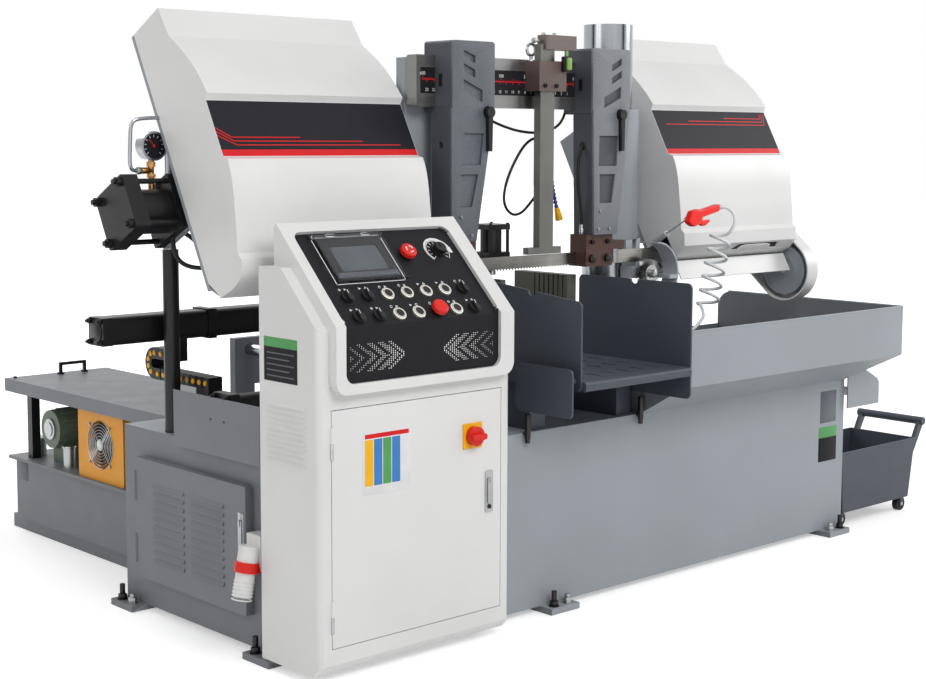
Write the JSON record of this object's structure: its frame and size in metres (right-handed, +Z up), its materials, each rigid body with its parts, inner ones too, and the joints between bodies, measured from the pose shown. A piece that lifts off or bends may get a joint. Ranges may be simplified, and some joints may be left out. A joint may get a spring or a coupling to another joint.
{
  "type": "automatic band saw",
  "caption": "Automatic horizontal band saw on guide columns, with leaning wheel covers, hydraulic vises, outfeed table, floor console, chip tray with cart, and a hydraulic power unit.",
  "frame": {"origin": "centre of the rectangle of the front and rear anchor bolts, on the floor", "axes": "+X along the blade to the operator's right, +Y from the operator to the infeed side, +Z up"},
  "size_m": [2.986, 2.113, 1.676],
  "materials": {
    "white_paint": "semi-gloss powder coat",
    "light_grey_paint": "fine textured paint",
    "mid_grey_paint": "fine textured paint",
    "dark_grey_paint": "hammered paint",
    "black_paint": "satin paint",
    "cast_grey": "painted casting",
    "ground_steel": "ground",
    "chrome": "hard chrome",
    "band_steel": "rolled strip",
    "brush_wire": "steel wire",
    "black_plastic": "moulded",
    "red_plastic": "moulded",
    "yellow_paint": "gloss",
    "inlet_plastic": "moulded",
    "hose_plastic": "translucent tube",
    "clear_plastic": "clear sheet",
    "caster_rubber": "moulded tyre",
    "fan_plastic": "moulded",
    "button_plastic": "moulded"
  },
  "bodies": {
    "base": {"base_frame": "light_grey_paint", "chip_tray": "light_grey_paint", "outfeed_table": "dark_grey_paint", "console_cabinet": "white_paint", "control_panel": "white_paint", "mains_inlet": "inlet_plastic", "power_unit": "mid_grey_paint", "pump_unit": "yellow_paint", "guide_columns": "chrome", "vise_bed": "cast_grey", "drag_chain": "black_plastic", "coil_hose": "hose_plastic"},
    "bow": {"bow_frame": "cast_grey", "guide_beam": "cast_grey", "saw_band": "band_steel", "drive_unit": "dark_grey_paint", "band_guards": "white_paint", "air_gun": "red_plastic", "tension_cylinder": "black_paint"},
    "left_wheel_cover": {"left_wheel_cover": "white_paint"},
    "right_wheel_cover": {"right_wheel_cover": "white_paint"},
    "tension_slide": {"tension_slide": "ground_steel"},
    "idler_wheel": {"idler_wheel": "cast_grey"},
    "drive_wheel": {"drive_wheel": "cast_grey"},
    "belt_pulley": {"belt_pulley": "ground_steel"},
    "left_guide_arm": {"left_guide_arm": "dark_grey_paint"},
    "right_guide_arm": {"right_guide_arm": "dark_grey_paint"},
    "left_clamp_lever": {"left_clamp_lever": "black_plastic"},
    "right_clamp_lever": {"right_clamp_lever": "black_plastic"},
    "feeler_bar": {"feeler_bar": "ground_steel"},
    "wire_brush": {"wire_brush": "brush_wire"},
    "gun_trigger": {"gun_trigger": "red_plastic"},
    "vise_jaw": {"vise_jaw": "cast_grey"},
    "holddown_rod": {"holddown_rod": "ground_steel"},
    "feed_carriage": {"feed_carriage": "black_paint"},
    "feed_jaw": {"feed_jaw": "cast_grey"},
    "cabinet_door": {"cabinet_door": "mid_grey_paint"},
    "console_door": {"console_door": "white_paint"},
    "main_switch": {"main_switch": "red_plastic"},
    "screen_cover": {"screen_cover": "clear_plastic"},
    "emergency_stop": {"emergency_stop": "red_plastic"},
    "stop_button": {"stop_button": "red_plastic"},
    "speed_dial": {"speed_dial": "black_plastic"},
    "cooler_fan": {"cooler_fan": "fan_plastic"},
    "chip_cart": {"chip_cart": "dark_grey_paint"},
    "cart_front_wheels": {"cart_front_wheels": "caster_rubber"},
    "cart_rear_wheels": {"cart_rear_wheels": "caster_rubber"},
    "selector_1": {"selector_1": "black_plastic"},
    "selector_2": {"selector_2": "black_plastic"},
    "selector_3": {"selector_3": "black_plastic"},
    "selector_4": {"selector_4": "black_plastic"},
    "selector_5": {"selector_5": "black_plastic"},
    "selector_6": {"selector_6": "black_plastic"},
    "button_1": {"button_1": "button_plastic"},
    "button_2": {"button_2": "button_plastic"},
    "button_3": {"button_3": "button_plastic"},
    "button_4": {"button_4": "button_plastic"},
    "button_5": {"button_5": "button_plastic"},
    "button_6": {"button_6": "button_plastic"},
    "button_7": {"button_7": "button_plastic"}
  },
  "joints": [
    {"name": "bow_lift", "type": "slide", "parent": "base", "child": "bow", "axis": [0, 0, 1], "range_m": [-0.255, 0.185], "deforming": ["coil_hose"]},
    {"name": "left_cover_hinge", "type": "hinge", "parent": "bow", "child": "left_wheel_cover", "pos_m": [-1.26, 0.25893, 1.59197], "axis": [-1, 0, 0], "range_deg": [0, 4]},
    {"name": "right_cover_hinge", "type": "hinge", "parent": "bow", "child": "right_wheel_cover", "pos_m": [0.408, 0.25893, 1.59197], "axis": [-1, 0, 0], "range_deg": [0, 75]},
    {"name": "band_tension", "type": "slide", "parent": "bow", "child": "tension_slide", "axis": [1, 0, 0], "range_m": [0, 0.012]},
    {"name": "drive_wheel_spin", "type": "hinge", "parent": "bow", "child": "drive_wheel", "pos_m": [0.41, -0.02505, 1.20273], "axis": [0, -0.8829, 0.4695], "continuous": true},
    {"name": "idler_wheel_spin", "type": "hinge", "parent": "tension_slide", "child": "idler_wheel", "pos_m": [-1.27, -0.02505, 1.20273], "axis": [0, -0.8829, 0.4695], "continuous": true},
    {"name": "belt_pulley_spin", "type": "hinge", "parent": "bow", "child": "belt_pulley", "pos_m": [0.736, -0.17875, 0.87106], "axis": [1, 0, 0], "continuous": true},
    {"name": "wire_brush_spin", "type": "hinge", "parent": "bow", "child": "wire_brush", "pos_m": [-0.005, -0.1845, 0.898], "axis": [0, 1, 0], "continuous": true},
    {"name": "left_arm_slide", "type": "slide", "parent": "bow", "child": "left_guide_arm", "axis": [1, 0, 0], "range_m": [-0.05, 0.185]},
    {"name": "right_arm_slide", "type": "slide", "parent": "bow", "child": "right_guide_arm", "axis": [1, 0, 0], "range_m": [-0.004, 0.012]},
    {"name": "left_lever_turn", "type": "hinge", "parent": "left_guide_arm", "child": "left_clamp_lever", "pos_m": [-0.732, -0.2215, 1.39], "axis": [0, 1, 0], "range_deg": [-90, 90]},
    {"name": "right_lever_turn", "type": "hinge", "parent": "right_guide_arm", "child": "right_clamp_lever", "pos_m": [-0.18, -0.2215, 1.39], "axis": [0, 1, 0], "range_deg": [-90, 90]},
    {"name": "feeler_slide", "type": "slide", "parent": "bow", "child": "feeler_bar", "axis": [0, 0, 1], "range_m": [-0.02, 0.03]},
    {"name": "gun_trigger_pull", "type": "hinge", "parent": "bow", "child": "gun_trigger", "pos_m": [-0.023, -0.4035, 1.067], "axis": [0, -1, 0], "range_deg": [0, 12], "stiffness_Nm_per_rad": 0.6},
    {"name": "vise_jaw_slide", "type": "slide", "parent": "base", "child": "vise_jaw", "axis": [1, 0, 0], "range_m": [-0.14, 0.2]},
    {"name": "holddown_slide", "type": "slide", "parent": "vise_jaw", "child": "holddown_rod", "axis": [0, 0, 1], "range_m": [-0.075, 0]},
    {"name": "feed_slide", "type": "slide", "parent": "base", "child": "feed_carriage", "axis": [0, 1, 0], "range_m": [0, 0.45]},
    {"name": "feed_jaw_slide", "type": "slide", "parent": "feed_carriage", "child": "feed_jaw", "axis": [1, 0, 0], "range_m": [-0.13, 0.24]},
    {"name": "cabinet_door_hinge", "type": "hinge", "parent": "base", "child": "cabinet_door", "pos_m": [-1.5503, 0.3315, 0.27], "axis": [0, 0, -1], "range_deg": [0, 110]},
    {"name": "console_door_hinge", "type": "hinge", "parent": "base", "child": "console_door", "pos_m": [-1.525, -0.5215, 0.38], "axis": [0, 0, -1], "range_deg": [0, 110]},
    {"name": "main_switch_turn", "type": "hinge", "parent": "console_door", "child": "main_switch", "pos_m": [-1.07, -0.5265, 0.558], "axis": [0, -1, 0], "range_deg": [0, 90]},
    {"name": "screen_cover_hinge", "type": "hinge", "parent": "base", "child": "screen_cover", "pos_m": [-1.3395, -0.34401, 1.0713], "axis": [-1, 0, 0], "range_deg": [0, 95]},
    {"name": "emergency_stop_press", "type": "slide", "parent": "base", "child": "emergency_stop", "axis": [0, 0.7071, -0.7071], "range_m": [0, 0.004], "stiffness_N_per_m": 900},
    {"name": "stop_button_press", "type": "slide", "parent": "base", "child": "stop_button", "axis": [0, 0.7071, -0.7071], "range_m": [0, 0.004], "stiffness_N_per_m": 900},
    {"name": "button_1_press", "type": "slide", "parent": "base", "child": "button_1", "axis": [0, 0.7071, -0.7071], "range_m": [0, 0.006], "stiffness_N_per_m": 500},
    {"name": "button_2_press", "type": "slide", "parent": "base", "child": "button_2", "axis": [0, 0.7071, -0.7071], "range_m": [0, 0.006], "stiffness_N_per_m": 500},
    {"name": "button_3_press", "type": "slide", "parent": "base", "child": "button_3", "axis": [0, 0.7071, -0.7071], "range_m": [0, 0.006], "stiffness_N_per_m": 500},
    {"name": "button_4_press", "type": "slide", "parent": "base", "child": "button_4", "axis": [0, 0.7071, -0.7071], "range_m": [0, 0.006], "stiffness_N_per_m": 500},
    {"name": "button_5_press", "type": "slide", "parent": "base", "child": "button_5", "axis": [0, 0.7071, -0.7071], "range_m": [0, 0.006], "stiffness_N_per_m": 500},
    {"name": "button_6_press", "type": "slide", "parent": "base", "child": "button_6", "axis": [0, 0.7071, -0.7071], "range_m": [0, 0.006], "stiffness_N_per_m": 500},
    {"name": "button_7_press", "type": "slide", "parent": "base", "child": "button_7", "axis": [0, 0.7071, -0.7071], "range_m": [0, 0.006], "stiffness_N_per_m": 500},
    {"name": "selector_1_turn", "type": "hinge", "parent": "base", "child": "selector_1", "pos_m": [-1.442, -0.4814, 0.93646], "axis": [0, -0.7071, 0.7071], "range_deg": [-45, 45]},
    {"name": "selector_2_turn", "type": "hinge", "parent": "base", "child": "selector_2", "pos_m": [-1.3792, -0.4814, 0.93646], "axis": [0, -0.7071, 0.7071], "range_deg": [-45, 45]},
    {"name": "selector_3_turn", "type": "hinge", "parent": "base", "child": "selector_3", "pos_m": [-1.0652, -0.4814, 0.93646], "axis": [0, -0.7071, 0.7071], "range_deg": [-45, 45]},
    {"name": "selector_4_turn", "type": "hinge", "parent": "base", "child": "selector_4", "pos_m": [-1.442, -0.52665, 0.89121], "axis": [0, -0.7071, 0.7071], "range_deg": [-45, 45]},
    {"name": "selector_5_turn", "type": "hinge", "parent": "base", "child": "selector_5", "pos_m": [-1.3792, -0.52665, 0.89121], "axis": [0, -0.7071, 0.7071], "range_deg": [-45, 45]},
    {"name": "selector_6_turn", "type": "hinge", "parent": "base", "child": "selector_6", "pos_m": [-1.0652, -0.52665, 0.89121], "axis": [0, -0.7071, 0.7071], "range_deg": [-45, 45]},
    {"name": "speed_dial_turn", "type": "hinge", "parent": "base", "child": "speed_dial", "pos_m": [-1.068, -0.38947, 1.02838], "axis": [0, -0.7071, 0.7071], "range_deg": [-135, 135]},
    {"name": "cooler_fan_spin", "type": "hinge", "parent": "base", "child": "cooler_fan", "pos_m": [-1.345, 0.8515, 0.3725], "axis": [1, 0, 0], "continuous": true},
    {"name": "cart_roll", "type": "slide", "parent": "base", "child": "chip_cart", "axis": [1, 0, 0], "range_m": [0, 0.6]},
    {"name": "cart_front_wheels_spin", "type": "hinge", "parent": "chip_cart", "child": "cart_front_wheels", "pos_m": [1.138, -0.2905, 0.025], "axis": [0, 1, 0], "continuous": true},
    {"name": "cart_rear_wheels_spin", "type": "hinge", "parent": "chip_cart", "child": "cart_rear_wheels", "pos_m": [0.7703, -0.2905, 0.025], "axis": [0, 1, 0], "continuous": true}
  ],
  "couplings": [
    {"joint": "idler_wheel_spin", "follows": "drive_wheel_spin", "ratio": 1},
    {"joint": "cart_front_wheels_spin", "follows": "cart_roll", "rad_per_m": 40},
    {"joint": "cart_rear_wheels_spin", "follows": "cart_roll", "rad_per_m": 40}
  ]
}
